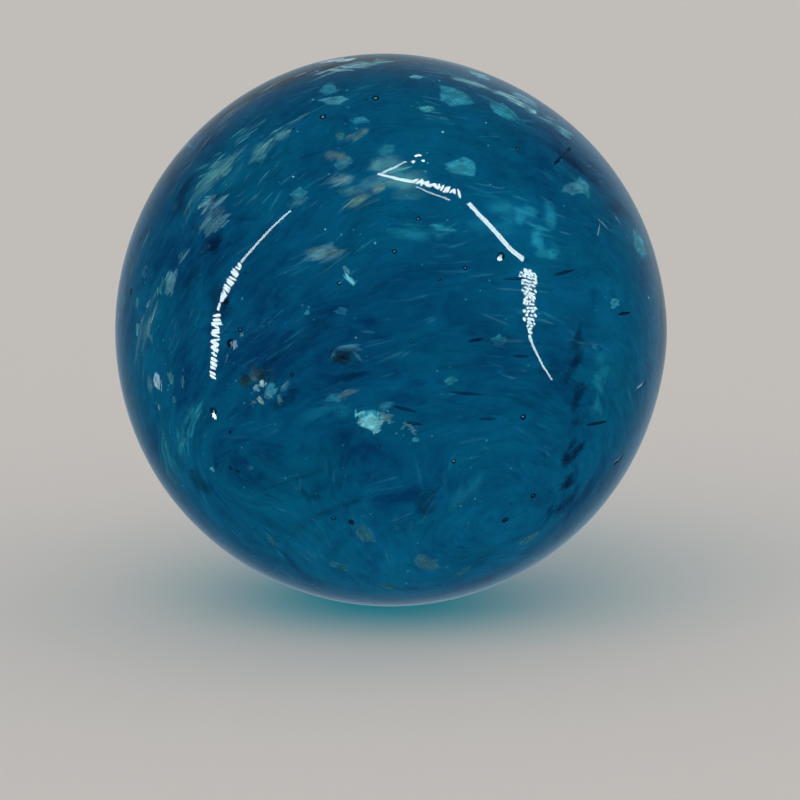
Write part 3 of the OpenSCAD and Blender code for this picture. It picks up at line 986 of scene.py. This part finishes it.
# One drift: slivers along the flow, splinters of sheet among them, and a soft haze of thin sheets
def addDrift(batch, form, drift):
    azimuth, elevation, depth, length, width, slivers, splinters, haze, kind = drift
    middle = aim(azimuth, elevation)
    along = flowAlong(middle)
    across = middle.cross(along)
    tint, faint, solid = form["tints"][kind]

    def strayOut(stray):
        x, y = rng.normal(0, stray, 2)
        return (middle + along * (x * length * mm / ballRadius)
                + across * (y * width * mm / ballRadius)).normalized()

    for number in range(slivers):
        out = strayOut(form["sliverStray"])
        addStreak(batch, streakForm, out, (depth + rng.uniform(*form["sliverDepth"])) * mm,
                  rng.uniform(*form["sliverLength"]) * mm, rng.uniform(*form["sliverWidth"]) * mm,
                  tint, faint * rng.uniform(*form["sliverOpacity"]), number)
    for number in range(splinters):
        out = strayOut(form["splinterStray"])
        ahead = flowAlong(out)
        size = (rng.uniform(*form["splinterLength"]) * mm, rng.uniform(*form["splinterWidth"]) * mm)
        outline = tornOutline(form["splinterCorners"], form["splinterOutline"])
        place = under(out, (depth + rng.uniform(*form["splinterDepth"])) * mm)
        finish = (tint, solid * rng.uniform(*form["splinterOpacity"]), *form["splinterFinish"])
        addSheet(batch, outline, place, (ahead, out.cross(ahead), out), size, finish, number,
                 form["splinterFade"])
    for number in range(form["hazeSheets"]):
        x, y = rng.uniform(-form["hazeStray"], form["hazeStray"], 2)
        place = (under(middle, (depth + form["hazeStep"] * number) * mm)
                 + along * x * length * mm + across * y * width * mm)
        size = (length * mm / 2 * rng.uniform(*form["hazeSize"]),
                width * mm / 2 * rng.uniform(*form["hazeSize"]))
        outline = tornOutline(form["hazeCorners"], form["hazeOutline"])
        finish = (tint, haze * rng.uniform(*form["hazeOpacity"]), *form["hazeFinish"])
        addSheet(batch, outline, place, (along, across, middle), size, finish, azimuth + number,
                 form["hazeFade"])


batch = Batch()
for drift in driftForm["driftsAndShadow"]:
    addDrift(batch, driftForm, drift)
driftsAndShadow = batch.makePiece("micaDriftsAndShadow")
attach(driftsAndShadow, "root")
print("mica drifts:", len(driftsAndShadow.data.polygons), "faces")

stageSetup = {
    "floorRadius": 1.6,
    "floorSides": 128,
    "floorColour": (0.275, 0.264, 0.255, 1),
    "wallLow": (0.527, 0.497, 0.473, 1),
    "wallHigh": (0.60, 0.57, 0.545, 1),
    # what the skin mirrors away from the strip lights: from the dim room to the pale wall behind and above
    "roomAxis": (175, -3),
    "roomColours": [
        (0.75, (0.020, 0.025, 0.035, 1)),
        (0.83, (0.040, 0.046, 0.056, 1)),
        (0.88, (0.085, 0.100, 0.120, 1)),
        (0.93, (0.160, 0.210, 0.250, 1)),
        (0.98, (0.260, 0.350, 0.420, 1)),
    ],
}


def makeStage(setup):
    bm = bmesh.new()
    bmesh.ops.create_circle(bm, cap_ends=True, segments=setup["floorSides"], radius=setup["floorRadius"])
    material, tree = newMaterial("palePaper")
    paper = addNode(tree, "ShaderNodeBsdfDiffuse", {"Color": setup["floorColour"]})
    addNode(tree, "ShaderNodeOutputMaterial", {"Surface": paper.outputs["BSDF"]})
    floor = placeMesh(meshOf(bm, "paleFloor"), material)
    floor.location = (ballCentre.x, ballCentre.y, floorHeight)
    floor.visible_glossy = False
    floor.visible_shadow = False


def makeWorld(setup):
    world = bpy.data.worlds.new("softGrey")
    bpy.context.scene.world = world
    world.use_nodes = True
    tree = world.node_tree
    tree.nodes.clear()
    place = tree.nodes.new("ShaderNodeTexCoord").outputs["Generated"]
    height = addNode(tree, "ShaderNodeSeparateXYZ", {0: place}).outputs["Z"]
    rise = rangeNode(tree, {"Value": height}, "SMOOTHSTEP")
    shade = mixNode(tree, rise, setup["wallLow"], setup["wallHigh"])
    wall = addNode(tree, "ShaderNodeBackground", {"Color": shade})
    facing = addNode(tree, "ShaderNodeVectorMath", {0: place, 1: aim(*setup["roomAxis"])})
    facing.operation = "DOT_PRODUCT"
    turned = rangeNode(tree, {"Value": facing.outputs["Value"], "From Min": -1})
    ramp = addNode(tree, "ShaderNodeValToRGB", {"Fac": turned})
    while len(ramp.color_ramp.elements) < len(setup["roomColours"]):
        ramp.color_ramp.elements.new(1)
    for stop, (position, colour) in zip(ramp.color_ramp.elements, setup["roomColours"]):
        stop.position = position
        stop.color = colour
    room = addNode(tree, "ShaderNodeBackground", {"Color": ramp.outputs["Color"]})
    path = tree.nodes.new("ShaderNodeLightPath").outputs
    through = mathNode(tree, "SUBTRACT", 1.0, path["Is Transmission Ray"])
    mirrored = mathNode(tree, "MULTIPLY", path["Is Glossy Ray"], through)
    mix = addNode(tree, "ShaderNodeMixShader", {0: mirrored, 1: wall.outputs[0], 2: room.outputs[0]})
    addNode(tree, "ShaderNodeOutputWorld", {"Surface": mix.outputs[0]})
    world.cycles.sampling_method = "NONE"       # the soft boxes light the mica, not the wall


# Soft boxes far off: azimuth, elevation, strength and how wide each looks, in degrees
softBoxes = {
    "keyBox": (-30, 50, 2.4, 60),
    "fillBox": (45, 30, 1.5, 80),
    "backBox": (170, 45, 1.5, 80),
    "leftBox": (-100, 20, 0.9, 80),
    "rightBox": (105, 20, 0.9, 80),
    "bounceCard": (0, -80, 1.3, 120),     # light thrown back up by the table top
}


def makeSoftBoxes(boxes):
    for name, (azimuth, elevation, strength, width) in boxes.items():
        light = bpy.data.lights.new(name, "SUN")
        light.energy = strength
        light.angle = math.radians(width)
        light.cycles.use_multiple_importance_sampling = False
        holder = bpy.data.objects.new(name, light)
        bpy.context.scene.collection.objects.link(holder)
        holder.rotation_euler = aim(azimuth, elevation).to_track_quat("Z", "Y").to_euler()
        holder.visible_glossy = False
        holder.visible_transmission = False


stripSetup = {
    "distance": 400 * mm,
    "stripPoints": 24,
    "colour": (0.86, 0.98, 1.0, 1),
    # each plain strip: its glow, its width at the start and the end, and its way as azimuth and elevation
    "strips": [
        (12, 6 * mm, 9 * mm, [(-65, 50), (-67, 44), (-69, 37), (-71, 31), (-73, 26.5)]),
        (17, 13 * mm, 15 * mm, [(57, 56), (58, 50), (60, 43), (62, 35), (66, 29.5)]),
        (14, 9 * mm, 3 * mm, [(59, 3), (60, 0), (62, -3.5), (65, -8), (68, -11), (70, -13)]),
        (12, 7 * mm, 4 * mm, [(-14, 76.5), (10, 80), (38, 81.5)]),
        (16, 7 * mm, 11 * mm, [(-18, 76.5), (-8, 76), (12, 74), (28, 71.5)]),
        (10, 4 * mm, 6 * mm, [(27, 69.5), (37, 65), (47, 60)]),
    ],
    "lampGlow": 20,
    "lampSides": 12,
    # each band of lamps in a clear sleeve: its width at the start and the end, how far its rungs may
    # slant in degrees or None for loose lamps, the step from row to row, and its way
    "bands": [
        (20 * mm, 32 * mm, 12, 6.5 * mm, [(-73, 25.5), (-73.5, 23)]),
        (32 * mm, 26 * mm, 12, 6.5 * mm, [(-73.5, 23), (-75, 16.5)]),
        (26 * mm, 10 * mm, 12, 6.5 * mm, [(-75, 16.5), (-76.5, 9.5)]),
        (28 * mm, 40 * mm, 10, 6.5 * mm, [(-76.5, 7.5), (-76, 5)]),
        (40 * mm, 32 * mm, 10, 6.5 * mm, [(-76, 5), (-75.5, -3.5)]),
        (27 * mm, 24 * mm, 4, 9 * mm, [(-75.5, -4), (-77.5, -12.5)]),
        (22 * mm, 26 * mm, 45, 7.5 * mm, [(29, 72), (41, 69), (50, 65), (57, 61)]),
        (28 * mm, 56 * mm, None, 7 * mm, [(66.5, 25.5), (65.5, 24)]),
        (58 * mm, 46 * mm, None, 7 * mm, [(65, 23), (62.5, 18.5)]),
        (34 * mm, 42 * mm, None, 7 * mm, [(62.5, 17.5), (62, 15.5)]),
        (42 * mm, 38 * mm, None, 7 * mm, [(61.5, 14.5), (60, 9.5)]),
        (38 * mm, 24 * mm, None, 7 * mm, [(60, 9), (59.5, 7)]),
        (20 * mm, 13 * mm, 15, 7 * mm, [(59.5, 6), (59, 3.5)]),
    ],
    "lane": 12 * mm,             # from lamp to lamp across a loose band
    "looseSlant": 30,
    "lampThickness": (0.75, 1.2),
    "lampLength": (0.8, 1.15),
    "sideStray": 0.06,           # of a rung, against the width of its band
    "laneStray": 0.25,           # of a loose lamp, against its lane
    "stepStray": 0.25,
    # lone lamps: azimuth, elevation, half width, half height
    "lamps": [
        (-82, -25, 8 * mm, 8 * mm), (54.5, 33, 9 * mm, 6 * mm), (50, 80, 5 * mm, 4 * mm),
        (70, 81, 5 * mm, 4 * mm), (75, 80, 4 * mm, 5 * mm), (65, 78, 4 * mm, 5 * mm),
    ],
}


# Points along a way round the ball, with the direction that it runs and its width at each
def pathPoints(way, count, startWidth, endWidth):
    places = [aim(azimuth, elevation) for azimuth, elevation in way]
    points = []
    for k in range(count):
        t = (len(places) - 1) * k / (count - 1)
        n = min(int(t), len(places) - 2)
        points.append(places[n].lerp(places[n + 1], t - n).normalized())
    heads = [(points[min(k + 1, count - 1)] - points[max(k - 1, 0)]).normalized() for k in range(count)]
    widths = [startWidth + (endWidth - startWidth) * k / (count - 1) for k in range(count)]
    return zip(points, heads, widths)


def addLamp(bm, glowLayer, middle, long, thick):
    sides = stripSetup["lampSides"]
    turns = [math.tau * k / sides for k in range(sides)]
    rim = [bm.verts.new(middle + long * math.cos(turn) + thick * math.sin(turn)) for turn in turns]
    for vert in rim:
        vert[glowLayer] = stripSetup["lampGlow"]
    bm.faces.new(rim)


def addBand(bm, glowLayer, setup, band):
    startWidth, endWidth, slant, pitch, way = band
    far = setup["distance"]
    count = max(3, round(aim(*way[0]).angle(aim(*way[-1])) * far / pitch))
    for k, (out, ahead, width) in enumerate(pathPoints(way, count, startWidth, endWidth)):
        across = out.cross(ahead)
        lanes = max(1, round(width / setup["lane"])) if slant is None else 1
        for lane in range(lanes):
            turn = math.radians(rng.uniform(-1, 1) * (setup["looseSlant"] if slant is None else slant))
            bar = across * math.cos(turn) + ahead * math.sin(turn)
            thick = out.cross(bar) * pitch / 2 * rng.uniform(*setup["lampThickness"])
            long = bar * width / 2 / lanes * rng.uniform(*setup["lampLength"])
            shift = rng.uniform(-setup["sideStray"], setup["sideStray"])
            if lanes > 1:       # every other row stands half a lane aside
                aside = (k % 2 - 0.5) * 0.5 + rng.uniform(-setup["laneStray"], setup["laneStray"])
                shift = (lane + 0.5 + aside) / lanes - 0.5
            middle = (ballCentre + out * far + across * width * shift
                      + ahead * pitch * rng.uniform(-setup["stepStray"], setup["stepStray"]))
            addLamp(bm, glowLayer, middle, long, thick)


def makeStripLights(setup):
    bm = bmesh.new()
    glowLayer = bm.verts.layers.float.new("glow")
    far = setup["distance"]
    for glow, startWidth, endWidth, way in setup["strips"]:
        rows = []
        for out, ahead, width in pathPoints(way, setup["stripPoints"], startWidth, endWidth):
            across = out.cross(ahead) * width / 2
            rows.append([bm.verts.new(ballCentre + out * far + across * side) for side in (-1, 1)])
            for vert in rows[-1]:
                vert[glowLayer] = glow
        for low, high in zip(rows, rows[1:]):
            bm.faces.new([low[0], low[1], high[1], high[0]])
    for band in setup["bands"]:
        addBand(bm, glowLayer, setup, band)
    for azimuth, elevation, halfWidth, halfHeight in setup["lamps"]:
        out = aim(azimuth, elevation)
        along, across = alongAndAcross(out, 0)
        addLamp(bm, glowLayer, ballCentre + out * far, along * halfWidth, across * halfHeight)
    material, tree = newMaterial("lampGlow")
    glow = addNode(tree, "ShaderNodeEmission", {
        "Color": setup["colour"], "Strength": attributeNode(tree, "glow")["Fac"]})
    addNode(tree, "ShaderNodeOutputMaterial", {"Surface": glow.outputs[0]})
    material.cycles.emission_sampling = "NONE"
    strips = placeMesh(meshOf(bm, "stripLights"), material)
    strips.visible_camera = False
    strips.visible_diffuse = False
    strips.visible_shadow = False
    strips.visible_transmission = False


makeStage(stageSetup)
makeWorld(stageSetup)
makeSoftBoxes(softBoxes)
makeStripLights(stripSetup)
print("stage: floor, wall and lights ready")

scene = bpy.context.scene
scene.view_settings.view_transform = "Standard"
scene.cycles.use_denoising = True
scene.cycles.caustics_refractive = False
scene.cycles.caustics_reflective = False
scene.cycles.max_bounces = 16
scene.cycles.transmission_bounces = 16
scene.cycles.transparent_max_bounces = 48
